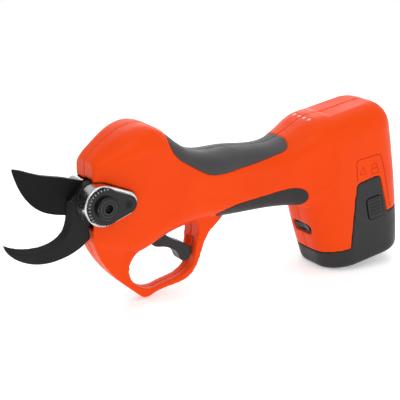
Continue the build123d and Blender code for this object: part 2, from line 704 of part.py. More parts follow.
def trigger():
    """Curved finger lever."""
    lever = prism(trigger_outline(), -TRIGGER_HALF, TRIGGER_HALF)
    lever += rod_y(TRIGGER_X, TRIGGER_Z, TRIGGER_HUB_R, -TRIGGER_HALF, TRIGGER_HALF)
    lever -= rod_y(TRIGGER_X, TRIGGER_Z, TRIGGER_PIN_R + FIT, -BIG, BIG)
    lever -= rod_y(TRIGGER_X, TRIGGER_Z, TRIGGER_HUB_R - 0.9, SPRING_Y, BIG)
    return only(lever - rod_y(MAGNET_X, MAGNET_Z, MAGNET_PIN_R, -2, 2))


def trigger_magnet():
    """Magnet moulded into the trigger, read by the sensor above it."""
    return rod_y(MAGNET_X, MAGNET_Z, MAGNET_PIN_R, -2, 2)


def trigger_pin():
    """Pin that the trigger turns on."""
    return rod_y(TRIGGER_X, TRIGGER_Z, TRIGGER_PIN_R, -12, 12)


def trigger_spring():
    """Return spring coiled round the pin."""
    radius = 2.75
    pitch = 0.85
    helix = Helix(pitch, 3 * pitch, radius)
    coil = Pos(TRIGGER_X, SPRING_Y + 0.6, TRIGGER_Z) * Rot(-90, 0, 0) * helix
    wire = Plane(origin=coil @ 0, z_dir=coil % 0) * Circle(0.32)
    return sweep(wire, coil)


# ---------------------------------------------------------------- switch and indicators
FACE_LEAN = 16.3            # slope of the housing's front face
SWITCH_LENGTH = 22.0
SWITCH_HEIGHT = 8.0
SWITCH_RECESS = 1.2
SWITCH_DEPTH = 8.0
ROCKER_SWING = 8.0
ROCKER_PIN_R = 1.0
SWITCH_CENTRE = Vector(HANDLE_REAR + 23.7, 0, -45.0)
SWITCH_OUT = Vector(-cos(radians(FACE_LEAN)), 0, -sin(radians(FACE_LEAN)))


def switch_plane(depth=0.0):
    """Plane on the front face, its x to the left side and its normal outwards."""
    return Plane(origin=SWITCH_CENTRE - SWITCH_OUT * depth, x_dir=(0, -1, 0), z_dir=SWITCH_OUT)


def switch_slot(margin, depth, height):
    """Oval block about the switch, its outer face at the given depth."""
    length = SWITCH_LENGTH + 2 * margin
    outline = SlotOverall(length, SWITCH_HEIGHT + 2 * margin)
    return extrude(switch_plane(depth) * outline, -height)


def power_switch_body():
    """Oval switch frame let into the housing's front face."""
    frame = switch_slot(-GAP / 2, SWITCH_RECESS, SWITCH_DEPTH)
    frame -= switch_slot(-1.4, SWITCH_RECESS - 1, 6.0)
    for side in (-1, 1):
        bearing = switch_plane(SWITCH_RECESS + 4) * Pos(0, side * (SWITCH_HEIGHT / 2 - 1.3))
        frame += extrude(bearing * Rectangle(3.6, 0.5), -2.5)
    return only(frame)


def power_rocker():
    """Rocker key, raised at both ends, that tilts about its middle."""
    half = SWITCH_LENGTH / 2 - 2.3
    key = polygon((-half, -0.6), (0, -1.9), (half, -0.6), (half - 0.4, -3.4), (0, -4.6),
                  (-half + 0.4, -3.4))
    width = SWITCH_HEIGHT - 3.8
    across = switch_plane().y_dir
    side = Plane(origin=SWITCH_CENTRE + across * (width / 2), x_dir=(0, -1, 0), z_dir=-across)
    return only(extrude(side * key, width) & switch_slot(-1.9, -5, 20))


INDICATORS = (-9.0, -3.0, 3.0, 9.0)
INDICATOR_PLACE = Pos(HANDLE_REAR + 21.5, 0, 34.4) * Rot(0, -24, 0)


def indicator_rods(radius, top, bottom):
    """Four short rods through the top of the housing, measured from its surface."""
    return [INDICATOR_PLACE * Pos(0, y, (top + bottom) / 2) * Cylinder(radius, top - bottom)
            for y in INDICATORS]


# ---------------------------------------------------------------- shells and grips
SCREW_R = 1.5
SCREW_HEAD_R = 2.7
BOSS_R = 3.4
REAR_BOSS_V = CORE_HALF + BOSS_R + 3.7
# Shell screws: x, z, underside of the head in y, tip in y.
SHELL_SCREWS = (
    (31.0, 36.0, 15.0, -12.0),
    (14.0, -30.0, 11.0, -10.0),
    (24.0, -51.0, 3.6, -4.5),
    (HANDLE_REAR + 9, 4.0, 17.0, -13.0),
    (lean_point(62, REAR_BOSS_V).X, lean_point(62, REAR_BOSS_V).Z, 17.0, -13.0),
)
GEARBOX_SEATS = (FRAME_RING_X + 4, GEARBOX_X + 4, GEARBOX_X + GEARBOX_L - 7)
MOTOR_SEATS = (MOTOR_X + 6, MOTOR_REAR - 13)
SEAT_W = 3.0
PARTITION_T = 2.0
WIRE_R = 1.0
LEAD_SLOT = WIRE_R + 0.6
SENSOR_X0 = GEARBOX_X + 8.0
SENSOR_X1 = GEARBOX_X + GEARBOX_L - 7.5
SENSOR_Z = -21.6


def round_seat(x, radius):
    """Slab across the handle with a round hole on the motor axis."""
    slab = box(x, x + SEAT_W, -60, 60, -60, 60) - rod_x(radius + FIT, x - 1, x + SEAT_W + 1)
    lead_way = box(x - 1, x + SEAT_W + 1, -LEAD_SLOT, LEAD_SLOT, LEAD_Z - 4, LEAD_Z + LEAD_SLOT)
    return slab - lead_way


def supports():
    """Ribs, bosses and the bay ceiling, before they are trimmed by the walls."""
    ribs = [round_seat(GEARBOX_SEATS[0], FRAME_RING_R)]
    ribs += [round_seat(x, GEARBOX_R) for x in GEARBOX_SEATS[1:]]
    ribs += [round_seat(x, MOTOR_D / 2) for x in MOTOR_SEATS]
    ribs += [rod_y(x, z, BOSS_R, -60, 60) for x, z, *_ in SHELL_SCREWS]
    ribs.append(rod_y(TRIGGER_X, TRIGGER_Z, TRIGGER_HUB_R - 0.6, -60, 60))
    ribs.append(lean_box(-CORE_HALF - 1.5, 60, -60, 60, BAY_TOP, BAY_TOP + PARTITION_T))
    return ribs


def upper_grip_outline():
    """Side view of the upper rubber, which wraps over the handle's top."""
    lower = Spline((49.5, 41), (48.0, 32.5), (51.7, 25.2), (62.7, 17.2), (72.4, 11.4),
                   (79.5, 8.6), (87.0, 8.2), (HANDLE_REAR - 39.5, 10.1),
                   (HANDLE_REAR - 24, 12.1), (HANDLE_REAR - 8.2, 15.1),
                   (HANDLE_REAR - 0.8, 18.0), (HANDLE_REAR + 1.6, 24.0))
    top = Polyline((HANDLE_REAR + 1.6, 24), (HANDLE_REAR + 1.6, 60), (49.5, 60), (49.5, 41))
    return curve_face(lower, top)


def lower_grip_outline():
    """Side view of the lower rubber, with its round lobe at the rear."""
    upper = Spline((84.5, -19.4), (92, -16.4), (98.5, -14.3), (109, -12.7),
                   (HANDLE_REAR - 15, -10.5), (HANDLE_REAR - 3, -8.9), (HANDLE_REAR + 5, -8.7),
                   (HANDLE_REAR + 11.5, -11.5), (HANDLE_REAR + 14.3, -17),
                   (HANDLE_REAR + 12.6, -23), (HANDLE_REAR + 8, -26.8))
    close = Polyline((HANDLE_REAR + 8, -26.8), (HANDLE_REAR + 4, -40), (98, -40),
                     (84.5, -19.4))
    return curve_face(upper, close)


def grip_skin():
    """Outer layer of the handle that the rubber fills."""
    return body_form() - body_form_at(GRIP_T)


def body_form_at(inset):
    """Head and handle drawn in all round, with the front left open."""
    return loft([body_section(*station, inset) for station in BODY_STATIONS])


def shells(skin):
    """Both orange shells as one piece: walls, ribs, bosses and guard."""
    shell = body_form() + housing_form() + guard_form()
    shell -= below_seam(SEAM)
    shell -= cavity_form() - supports()
    shell -= skin & prism(upper_grip_outline(), -BIG, BIG)
    shell -= skin & prism(lower_grip_outline(), -BIG, BIG)
    shell -= prism(teardrop(GAP), -BIG, BLOCK_BACK_Y)
    shell -= prism(teardrop(GAP), -1, NUT_Y + GAP)
    shell -= box(-BIG, WALL, BLOCK_BACK_Y - GAP, BLADE_SIDE_Y, BLADE_ROOM_Z, HOOK_HUB_R + 0.6)
    shell -= rod_y(0, 0, HOOK_HUB_R + 0.6, BLOCK_BACK_Y - GAP, BLADE_SIDE_Y)
    shell -= rod_y(0, 0, NUT_R + 1.0, NUT_Y - 1, BIG)
    shell -= trigger_room()
    shell -= rod_y(TRIGGER_X, TRIGGER_Z, TRIGGER_PIN_R + 0.02, -12.2, 12.2)
    shell -= switch_slot(0, -6, 6 + SWITCH_RECESS + SWITCH_DEPTH + GAP)
    shell -= indicator_rods(1.6, 10, -WALL - 4)
    for x, z, head_y, tip_y in SHELL_SCREWS:
        shell -= rod_y(x, z, SCREW_HEAD_R + 0.2, head_y, 60)
        shell -= rod_y(x, z, SCREW_R + 0.02, tip_y - 0.5, head_y + 1)
    return shell


def shell_screws():
    """Screws that join the shells from the right side."""
    screws = Part()
    for x, z, head_y, tip_y in SHELL_SCREWS:
        head = rod_y(x, z, SCREW_HEAD_R, head_y, head_y + 2.2)
        head -= prism(Pos(x, z) * RegularPolygon(1.3, 6), head_y + 0.8, head_y + 3)
        screws += head + rod_y(x, z, SCREW_R, tip_y, head_y)
    return screws


# ---------------------------------------------------------------- battery
TONGUE_BUTTON = (lean_point(38.0, 8.5), 12.0, 15.0)
BUTTON_TRAVEL = 1.8
BUTTON_T = 3.0
CAP_FLOOR = WALL
BATTERY_SCREW_AT = CORE_HALF - 4.5
JACK_S = 19.0
JACK_R = 2.75
JACK_DEPTH = 6.0
CORE_CORNER = 5.0
CELL_AT = CELL_D / 2 + 0.2


def core_block(margin, s0, s1):
    """Square block on the battery axis."""
    side = 2 * (CORE_HALF + margin)
    outline = RectangleRounded(side, side, max(CORE_CORNER + margin, 0.8))
    return extrude(lean_plane(s0) * outline, s1 - s0)


def button_window(margin, y0, y1):
    """Window for a latch button in a side tongue."""
    centre, width, height = TONGUE_BUTTON
    plane = Plane(origin=(centre.X, y1, centre.Z), x_dir=LEAN_BACK, z_dir=(0, -1, 0))
    outline = RectangleRounded(width + 2 * margin, height + 2 * margin, 2.0 + margin)
    return extrude(plane * outline, y1 - y0)


def lean_rod(radius, s0, s1, v=0.0, y=0.0):
    """Cylinder along the battery axis."""
    return extrude(lean_plane(s0, v, y) * Circle(radius), s1 - s0)


def back_rod(radius, s, v0, v1, y=0.0):
    """Cylinder across the battery axis, towards the rear."""
    plane = Plane(origin=lean_point(s, v0, y), x_dir=(0, 1, 0), z_dir=LEAN_BACK)
    return extrude(plane * Circle(radius), v1 - v0)


def battery_cap():
    """Outer battery moulding: foot, rim and two side tongues."""
    room = housing_form(WALL) - lean_box(-BIG, BIG, -BIG, BIG, -BIG, CAP_FLOOR)
    cap = (housing_form() & below_seam()) - room
    for side in (-1, 1):
        inner, outer = sorted((side * 24.0, side * (HOUSING_HALF_WIDTH + 5)))
        cap -= button_window(GAP, inner, outer)
    cap -= back_rod(JACK_R + 1.2, JACK_S, CORE_HALF + 1, BIG)
    for v in (-BATTERY_SCREW_AT, BATTERY_SCREW_AT):
        for y in (-BATTERY_SCREW_AT, BATTERY_SCREW_AT):
            cap -= lean_rod(SCREW_R + 0.1, -1, CAP_FLOOR + 1, v, y)
            cap -= lean_rod(SCREW_HEAD_R + 0.1, -1, 2.0, v, y)
    return only(cap)


def battery_case():
    """Inner battery box that slides up into the housing."""
    case = core_block(0, CAP_FLOOR, CORE_TOP)
    case -= core_block(-CELL_WALL, CORE_FLOOR - 4, CORE_TOP - CELL_WALL)
    for y in CONTACT_Y:
        case -= lean_box(-6, 6, y - 0.9, y + 0.9, CORE_TOP - 3, CORE_TOP + 1)
    for v in (-BATTERY_SCREW_AT, BATTERY_SCREW_AT):
        for y in (-BATTERY_SCREW_AT, BATTERY_SCREW_AT):
            case -= lean_rod(SCREW_R + 0.02, CAP_FLOOR - 1, CORE_FLOOR - 5, v, y)
    return only(case)


CONTACT_Y = (-9.0, -3.0, 3.0, 9.0)


def battery_screws():
    """Four screws up through the battery's foot."""
    screws = Part()
    for v in (-BATTERY_SCREW_AT, BATTERY_SCREW_AT):
        for y in (-BATTERY_SCREW_AT, BATTERY_SCREW_AT):
            head = lean_rod(SCREW_HEAD_R, 0.3, 2.0, v, y) - lean_rod(1.2, 0, 1.2, v, y)
            screws += head + lean_rod(SCREW_R, 2.0, CORE_FLOOR - 5.5, v, y)
    return screws


def cell_places():
    """Centres of the four cells across the battery."""
    return [(v, y) for v in (-CELL_AT, CELL_AT) for y in (-CELL_AT, CELL_AT)]


def battery_cell(index):
    """One round cell with its raised positive end."""
    v, y = cell_places()[index]
    cell = lean_rod(CELL_D / 2, CORE_FLOOR, CORE_FLOOR + CELL_L - 0.8, v, y)
    return only(cell + lean_rod(3.0, CORE_FLOOR, CORE_FLOOR + CELL_L, v, y))


def cell_holders():
    """Frames that keep both ends of the cells apart."""
    holders = Part()
    for s in (CORE_FLOOR + 4, CORE_FLOOR + CELL_L - 12):
        frame = core_block(-CELL_WALL - 0.15, s, s + 7)
        for v, y in cell_places():
            frame -= lean_rod(CELL_D / 2 + 0.1, s - 1, s + 8, v, y)
        holders += frame
    return holders


def cell_links():
    """Nickel strips across the ends of the cells."""
    half = CELL_AT + 5
    top = CORE_FLOOR + CELL_L
    links = lean_box(-half, half, -half, -CELL_AT + 5, top, top + 0.3)
    links += lean_box(-half, half, CELL_AT - 5, half, top, top + 0.3)
    links += lean_box(-half, half, -half, half, CORE_FLOOR - 0.3, CORE_FLOOR)
    return links


BATTERY_BOARD_S = CORE_FLOOR + CELL_L + 1.0


def battery_board():
    """Protection board over the cells."""
    return lean_box(-17, 17, -17, 17, BATTERY_BOARD_S, BATTERY_BOARD_S + 1.4)


def battery_contacts():
    """Spring receptacles on the battery's board."""
    base = BATTERY_BOARD_S + 1.4
    contacts = Part()
    for y in CONTACT_Y:
        for side in (-1, 1):
            near, far = sorted((y + side * 0.9, y + side * 1.5))
            contacts += lean_box(-5, 5, near, far, base, CORE_TOP - CELL_WALL - 0.2)
    return contacts


def contact_block():
    """Terminal block under the bay ceiling, with blades into the battery."""
    block = lean_box(-12, 12, -14, 14, CORE_TOP + 1.2, BAY_TOP)
    for y in CONTACT_Y:
        block += lean_box(-4, 4, y - 0.4, y + 0.4, CORE_TOP - 3.6, CORE_TOP + 2)
    return only(block)


def latch_button(side):
    """Ribbed latch button in a battery tongue."""
    face = HOUSING_HALF_WIDTH + 0.6
    y0, y1 = sorted((side * face, side * (face - BUTTON_T)))
    button = button_window(0, y0, y1)
    centre, width, _ = TONGUE_BUTTON
    for rib in range(5):
        plane = Plane(origin=(centre.X, side * face, centre.Z), x_dir=LEAN_BACK,
                      z_dir=(0, side, 0))
        rise = (rib - 2) * 2.6
        bar = plane * Pos(0, rise) * Rectangle(width - 3, 1.1)
        button += extrude(bar, 0.5)
    return only(button)


def latch_spring(side):
    """Bowed leaf behind a latch button."""
    centre = TONGUE_BUTTON[0]
    back = CORE_HALF + 0.02
    plane = Plane(origin=(centre.X, 0, centre.Z), x_dir=LEAN_BACK, z_dir=LEAN_UP)
    half = 4.6
    lift = 0.55
    outer = ThreePointArc((-half, side * (back + 0.3)), (0, side * (back + lift)),
                          (half, side * (back + 0.3)))
    rest = Polyline((half, side * (back + 0.3)), (half, side * back), (-half, side * back),
                    (-half, side * (back + 0.3)))
    return extrude(plane * Pos(0, 0, -3) * curve_face(outer, rest), 6)


def charge_jack():
    """Round charging socket in the back of the battery."""
    jack = lean_box(CORE_HALF + 0.2, CORE_HALF + 0.2 + JACK_DEPTH + 1, -5, 5, JACK_S - 4.5,
                    JACK_S + 4.5)
    return only(jack - back_rod(JACK_R, JACK_S, CORE_HALF + 1.2, BIG))


# ---------------------------------------------------------------- electronics
LEAD_Z = -18.4
BOARD_S = BAY_TOP + PARTITION_T + 4.0
BOARD_T = 1.6
LEAD_Y = (-6.0, 0.0, 6.0)


def control_board():
    """Main board above the battery bay, on four pillars, with its power parts."""
    board = lean_box(-20, 22, -18, 18, BOARD_S, BOARD_S + BOARD_T)
    for v in (-16, 18):
        for y in (-15, 15):
            board += lean_rod(2.0, BAY_TOP + PARTITION_T, BOARD_S, v, y)
    for v in (-8, 0, 8):
        board += lean_box(v - 2.5, v + 2.5, -14, -8, BOARD_S + BOARD_T, BOARD_S + BOARD_T + 1.6)
    board += lean_rod(4.0, BOARD_S + BOARD_T, BOARD_S + BOARD_T + 4.4, 4, 6)
    board += lean_box(-14, -7, 2, 9, BOARD_S + BOARD_T, BOARD_S + BOARD_T + 1.0)
    return only(board)


def trigger_sensor():
    """Small board above the trigger that reads its magnet."""
    board = box(SENSOR_X0, SENSOR_X1, -6, 6, SENSOR_Z, SENSOR_Z + 1.4)
    chip = box(MAGNET_X - 2, MAGNET_X + 2, -2, 2, SENSOR_Z - 1, SENSOR_Z)
    return only(board + chip)


def wire(points, radius, bends):
    """Round wire through the points, with a bend at each corner."""
    path = FilletPolyline(*points, radius=bends)
    section = Plane(origin=path @ 0, z_dir=path % 0) * Circle(radius)
    return sweep(section, path)


def motor_leads():
    """Three motor wires from the end cap up to the control board."""
    start = MOTOR_REAR + CAP_T
    front = lean_point(BOARD_S + BOARD_T / 2, -20)
    rise = (front - LEAN_BACK * 5)
    leads = Part()
    for y in LEAD_Y:
        leads += wire([(start, y, 5), (start + 9, y, 5), (rise.X, y, rise.Z),
                       (front.X, y, front.Z)], WIRE_R * 0.78, 5)
    return leads


def trigger_lead():
    """Sensor wire under the motor and up to the control board."""
    front = lean_point(BOARD_S + BOARD_T / 2, -20, 11.5)
    rise = front - LEAN_BACK * 4
    return wire([(SENSOR_X1, 0, SENSOR_Z + 1.1), (SENSOR_X1 + 4, 0, SENSOR_Z + 1.2),
                 (SENSOR_X1 + 12, 0, LEAD_Z), (MOTOR_REAR + 6, 0, LEAD_Z),
                 (MOTOR_REAR + 24, 11.5, -14), (rise.X, 11.5, rise.Z),
                 (front.X, 11.5, front.Z)], WIRE_R * 0.7, 3)


def indicator_lenses():
    """Four small lenses in the top of the housing, on one light guide."""
    guide = INDICATOR_PLACE * Pos(0, 0, -7.4) * Box(5, 22, 1.2)
    lenses = [rod & body_form_at(0.15) for rod in indicator_rods(1.5, 10, -7.4)]
    return only(guide + lenses)


# ---------------------------------------------------------------- all parts
def build():
    """Every node of the pruner, by name."""
    skin = grip_skin()
    upper = skin & prism(upper_grip_outline(), -BIG, BIG)
    lower = skin & prism(lower_grip_outline(), -BIG, BIG)
    shell = shells(skin)
    parts = {
        "left_shell": only(left_of(shell)),
        "right_shell": only(right_of(shell)),
        "upper_grip_left": only(left_of(upper)),
        "upper_grip_right": only(right_of(upper)),
        "lower_grip_left": only(left_of(lower)),
        "lower_grip_right": only(right_of(lower)),
        "shell_screws": shell_screws(),
        "cutting_blade": cutting_blade(),
        "gear_sector": gear_sector(),
        "drive_pins": drive_pin_solids(),
        "hook_blade": hook_blade(),
        "hook_screws": hook_screw_solids(),
        "head_frame": head_frame(),
        "lock_plate": lock_plate(),
        "lock_screw": lock_screw(),
        "pivot_bolt": pivot_bolt(),
        "pivot_nut": pivot_nut(),
        "pivot_bush": pivot_bush(),
        "bevel_pinion": bevel_pinion(),
        "pinion_bearings": pinion_bearings(),
        "planet_carrier": planet_carrier(),
        "ring_gear": ring_gear(),
        "sun_gear": only(spur(SUN_TEETH, MOTOR_SHAFT_R)),
        "motor_plate": motor_plate(),
        "motor_can": motor_can(),
        "motor_stator": motor_stator(),
        "motor_rotor": motor_rotor(),
        "motor_end_cap": motor_end_cap(),
        "motor_bearings": motor_bearings(),
        "motor_leads": motor_leads(),
        "trigger": trigger(),
        "trigger_pin": trigger_pin(),
        "trigger_spring": trigger_spring(),
        "trigger_magnet": trigger_magnet(),
        "trigger_sensor": trigger_sensor(),
        "trigger_lead": trigger_lead(),
        "control_board": control_board(),
        "indicator_lenses": indicator_lenses(),
        "power_switch_body": power_switch_body(),
        "power_rocker": power_rocker(),
        "contact_block": contact_block(),
        "battery_cap": battery_cap(),
        "battery_case": battery_case(),
        "battery_screws": battery_screws(),
        "cell_holders": cell_holders(),
        "cell_links": cell_links(),
        "battery_board": battery_board(),
        "battery_contacts": battery_contacts(),
        "charge_jack": charge_jack(),
        "latch_button_left": latch_button(-1),
        "latch_button_right": latch_button(1),
        "latch_spring_left": latch_spring(-1),
        "latch_spring_right": latch_spring(1),
    }
    for index in range(3):
        parts[f"planet_gear_{index + 1}"] = planet_gear(index)
    for index in range(4):
        parts[f"battery_cell_{index + 1}"] = battery_cell(index)
    return parts


for name, shape in build().items():
    export_step(shape, f"parts/{name}.step")
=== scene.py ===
"""Battery electric pruner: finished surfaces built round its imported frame."""

import json
import logging
from collections.abc import Iterable, Sequence
from dataclasses import dataclass, field
from enum import Enum
from math import cos, pi, radians, sin

import bpy
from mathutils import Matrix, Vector


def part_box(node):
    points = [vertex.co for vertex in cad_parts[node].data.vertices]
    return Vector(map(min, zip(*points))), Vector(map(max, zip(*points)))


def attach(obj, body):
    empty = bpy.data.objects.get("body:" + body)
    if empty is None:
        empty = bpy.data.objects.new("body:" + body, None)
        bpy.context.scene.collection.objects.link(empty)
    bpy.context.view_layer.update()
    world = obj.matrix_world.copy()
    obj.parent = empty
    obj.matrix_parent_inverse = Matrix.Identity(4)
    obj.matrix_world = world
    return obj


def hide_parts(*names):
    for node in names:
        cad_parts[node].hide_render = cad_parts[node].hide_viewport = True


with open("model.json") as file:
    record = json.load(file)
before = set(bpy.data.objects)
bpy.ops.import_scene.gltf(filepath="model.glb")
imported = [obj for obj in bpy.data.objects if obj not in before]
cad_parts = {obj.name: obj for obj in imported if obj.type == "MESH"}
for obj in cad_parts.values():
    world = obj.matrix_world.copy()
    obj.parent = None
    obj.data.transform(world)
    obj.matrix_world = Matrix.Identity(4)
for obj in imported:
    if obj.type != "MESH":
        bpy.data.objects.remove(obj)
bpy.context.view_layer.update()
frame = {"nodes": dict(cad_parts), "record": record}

LOG = logging.getLogger("pruner")
Colour = tuple[float, float, float]
Triple = tuple[float, float, float]
MM = 0.001


class Side(Enum):
    """The tool's two sides, with the sign of their Y."""

    LEFT = -1
    RIGHT = 1

    @property
    def word(self) -> str:
        """Name used in pieces and nodes."""
        return self.name.lower()


class Texture(Enum):
    """How the fine relief of a finish runs."""

    GRAIN = "grain"
    BRUSHED = "brushed"
    CAST = "cast"


# ---------------------------------------------------------------- finishes
@dataclass(frozen=True)
class Finish:
    """One surface finish, as numbers for a Principled shader with relief, edge wear and painted edge
    highlight.
    """

    name: str
    colour: Colour
    shade: Colour
    roughness: float
    roughness_spread: float = 0.08
    metallic: float = 0.0
    texture: Texture = Texture.GRAIN
    relief_size: float = 0.6 * MM
    relief_depth: float = 0.02 * MM
    wear_colour: Colour = (0.5, 0.5, 0.5)
    wear: float = 0.0
    coat: float = 0.0
    coat_roughness: float = 0.2
    specular: float = 0.5
    patch_size: float = 26 * MM
    glow: float = 0.0

    def material(self) -> bpy.types.Material:
        """Builds the material once and gives it back on later calls.

        Returns:
            The node material for this finish.
        """
        known = bpy.data.materials.get(self.name)
        if known is not None:
            return known
        material = bpy.data.materials.new(self.name)
        material.use_nodes = True
        graph = Graph(material.node_tree)
        shader = graph.shader
        patches = graph.noise(1 / self.patch_size, 3.0)
        base = graph.mix(graph.remap(patches, 0.35, 0.7, 0.0, 1.0), self.colour, self.shade)
        # Convex edges take the paler edge colour: real wear on most finishes, a painted highlight on
        # the orange housing.
        if self.wear > 0:
            edges = graph.remap(graph.pointiness(), 0.53, 0.6, 0.0, self.wear)
            edge_wear_and_sheen = graph.product(edges, graph.remap(graph.noise(420.0, 4.0), 0.35, 0.6, 0.2, 1.0))
            base = graph.mix(edge_wear_and_sheen, base, self.wear_colour)
        graph.link(base, shader.inputs["Base Color"])
        low = max(0.02, self.roughness - self.roughness_spread)
        high = min(1.0, self.roughness + self.roughness_spread)
        rough = graph.remap(graph.noise(2.2 / self.patch_size, 5.0), 0.3, 0.7, low, high)
        graph.link(rough, shader.inputs["Roughness"])
        relief = self.relief(graph)
        graph.link(graph.bump(relief, self.relief_depth), shader.inputs["Normal"])
        shader.inputs["Metallic"].default_value = self.metallic
        shader.inputs["Coat Weight"].default_value = self.coat
        shader.inputs["Coat Roughness"].default_value = self.coat_roughness
        shader.inputs["Specular IOR Level"].default_value = self.specular
        if self.glow > 0:
            shader.inputs["Emission Color"].default_value = (*self.colour, 1.0)
            shader.inputs["Emission Strength"].default_value = self.glow
        return material

    def relief(self, graph: "Graph") -> bpy.types.NodeSocket:
        """Height pattern of the finish.

        Args:
            graph: The material's graph.

        Returns:
            The socket that carries the height.
        """
        scale = 1 / self.relief_size
        if self.texture is Texture.BRUSHED:
            return graph.noise(scale, 2.0, stretch=(0.06, 1.0, 1.0))
        if self.texture is Texture.CAST:
            return graph.cells(scale)
        fine = graph.noise(scale, 2.0)
        return graph.product(fine, graph.cells(scale * 0.8))


class Graph:
    """Short words for the shader nodes that the finishes share."""

    def __init__(self, tree: bpy.types.NodeTree) -> None:
        """Clears the tree and adds its shader and output.

        Args:
            tree: The material's node tree.
        """
        self.tree = tree
        tree.nodes.clear()
        self.output = tree.nodes.new("ShaderNodeOutputMaterial")
        self.shader = tree.nodes.new("ShaderNodeBsdfPrincipled")
        self.link(self.shader.outputs["BSDF"], self.output.inputs["Surface"])
        self.place = tree.nodes.new("ShaderNodeTexCoord").outputs["Object"]

    def link(self, source: bpy.types.NodeSocket, target: bpy.types.NodeSocket) -> None:
        """Joins two sockets."""
        self.tree.links.new(source, target)

    def noise(
        self, scale: float, detail: float, stretch: Sequence[float] | None = None
    ) -> bpy.types.NodeSocket:
        """Noise over the piece.

        Args:
            scale: Patches per metre.
            detail: Octaves.
            stretch: Scale of the coordinates along each axis, if not even.

        Returns:
            The noise value.
        """
        node = self.tree.nodes.new("ShaderNodeTexNoise")
        node.inputs["Scale"].default_value = scale
        node.inputs["Detail"].default_value = detail
        place = self.place
        if stretch is not None:
            mapping = self.tree.nodes.new("ShaderNodeMapping")
            mapping.inputs["Scale"].default_value = stretch
            self.link(place, mapping.inputs["Vector"])
            place = mapping.outputs["Vector"]
        self.link(place, node.inputs["Vector"])
        return node.outputs[0]

    def cells(self, scale: float) -> bpy.types.NodeSocket:
        """Distance field of small cells, for moulded or cast grain.

        Args:
            scale: Cells per metre.

        Returns:
            The distance from the nearest cell's centre.
        """
        node = self.tree.nodes.new("ShaderNodeTexVoronoi")
        node.inputs["Scale"].default_value = scale
        self.link(self.place, node.inputs["Vector"])
        return node.outputs["Distance"]

    def pointiness(self) -> bpy.types.NodeSocket:
        """Convexity of the surface."""
        return self.tree.nodes.new("ShaderNodeNewGeometry").outputs["Pointiness"]

    def remap(
        self, value: bpy.types.NodeSocket, low: float, high: float, to_low: float, to_high: float
    ) -> bpy.types.NodeSocket:
        """Maps a value from one range to another, held at its ends.

        Args:
            value: The value to map.
            low: Start of the range it comes from.
            high: End of the range it comes from.
            to_low: Start of the range it goes to.
            to_high: End of the range it goes to.

        Returns:
            The mapped value.
        """
        node = self.tree.nodes.new("ShaderNodeMapRange")
        for index, number in enumerate((low, high, to_low, to_high), start=1):
            node.inputs[index].default_value = number
        self.link(value, node.inputs[0])
        return node.outputs[0]

    def product(
        self, first: bpy.types.NodeSocket, second: bpy.types.NodeSocket
    ) -> bpy.types.NodeSocket:
        """Multiplies two values.

        Args:
            first: One value.
            second: The other value.

        Returns:
            Their product.
        """
        node = self.tree.nodes.new("ShaderNodeMath")
        node.operation = "MULTIPLY"
        self.link(first, node.inputs[0])
        self.link(second, node.inputs[1])
        return node.outputs[0]

    def mix(
        self,
        share: bpy.types.NodeSocket,
        first: bpy.types.NodeSocket | Colour,
        second: bpy.types.NodeSocket | Colour,
    ) -> bpy.types.NodeSocket:
        """Mixes two colours.

        Args:
            share: How much of the second colour shows.
            first: Colour or socket.
            second: Colour or socket.

        Returns:
            The mixed colour.
        """
        node = self.tree.nodes.new("ShaderNodeMix")
        node.data_type = "RGBA"
        self.link(share, node.inputs[0])
        for index, colour in ((6, first), (7, second)):
            if isinstance(colour, tuple):
                node.inputs[index].default_value = (*colour, 1.0)
            else:
                self.link(colour, node.inputs[index])
        return node.outputs[2]

    def bump(self, height: bpy.types.NodeSocket, depth: float) -> bpy.types.NodeSocket:
        """Turns a height into a bumped normal.

        Args:
            height: The height pattern.
            depth: Depth of the pattern, in metres.

        Returns:
            The normal.
        """
        node = self.tree.nodes.new("ShaderNodeBump")
        node.inputs["Strength"].default_value = 1.0
        node.inputs["Distance"].default_value = depth
        self.link(height, node.inputs["Height"])
        return node.outputs["Normal"]


# Orange housing; its paler edge colour is a painted highlight along the rounded edges.
ORANGE = Finish("orange_housing", (0.81, 0.060, 0.0006), (0.77, 0.052, 0.0005), 0.38,
                relief_size=0.5 * MM, relief_depth=0.010 * MM, specular=0.11, wear=0.3,
                wear_colour=(0.95, 0.14, 0.02), patch_size=40 * MM)
# Darker orange of the moulded lines and marks: painted shade of their relief, the plastic being the
# housing's orange.
SHADED_LINE_ORANGE = Finish("orange_moulded_line", (0.50, 0.022, 0.0005), (0.46, 0.018, 0.0005), 0.5,
                     relief_size=0.5 * MM, relief_depth=0.010 * MM, specular=0.15)
RUBBER = Finish("upper_grip_skin", (0.046, 0.045, 0.047), (0.038, 0.037, 0.039), 0.5,
                relief_size=0.7 * MM, relief_depth=0.03 * MM, specular=0.4, wear=0.3,
                wear_colour=(0.07, 0.07, 0.075))
LOW_RUBBER = Finish("lower_grip_skin", (0.020, 0.020, 0.021), (0.016, 0.016, 0.017), 0.55,
                    relief_size=0.7 * MM, relief_depth=0.03 * MM, specular=0.3, wear=0.3,
                    wear_colour=(0.045, 0.045, 0.05))
BATTERY_PLASTIC = Finish("battery_moulding", (0.020, 0.020, 0.021), (0.017, 0.017, 0.018), 0.48,
                         relief_size=0.55 * MM, relief_depth=0.02 * MM, specular=0.3,
                         wear=0.35, wear_colour=(0.06, 0.06, 0.065))
BLACK_PLASTIC = Finish("control_moulding", (0.010, 0.010, 0.011), (0.008, 0.008, 0.009), 0.36,
                       relief_size=0.5 * MM, relief_depth=0.012 * MM, specular=0.35,
                       wear=0.3, wear_colour=(0.04, 0.04, 0.045))
BLADE_BLACK = Finish("blade_black_coat", (0.0045, 0.0045, 0.005), (0.0065, 0.0065, 0.007), 0.40,
                     roughness_spread=0.1, relief_size=0.35 * MM, relief_depth=0.008 * MM,
                     wear=0.5, wear_colour=(0.05, 0.05, 0.054), specular=0.12)
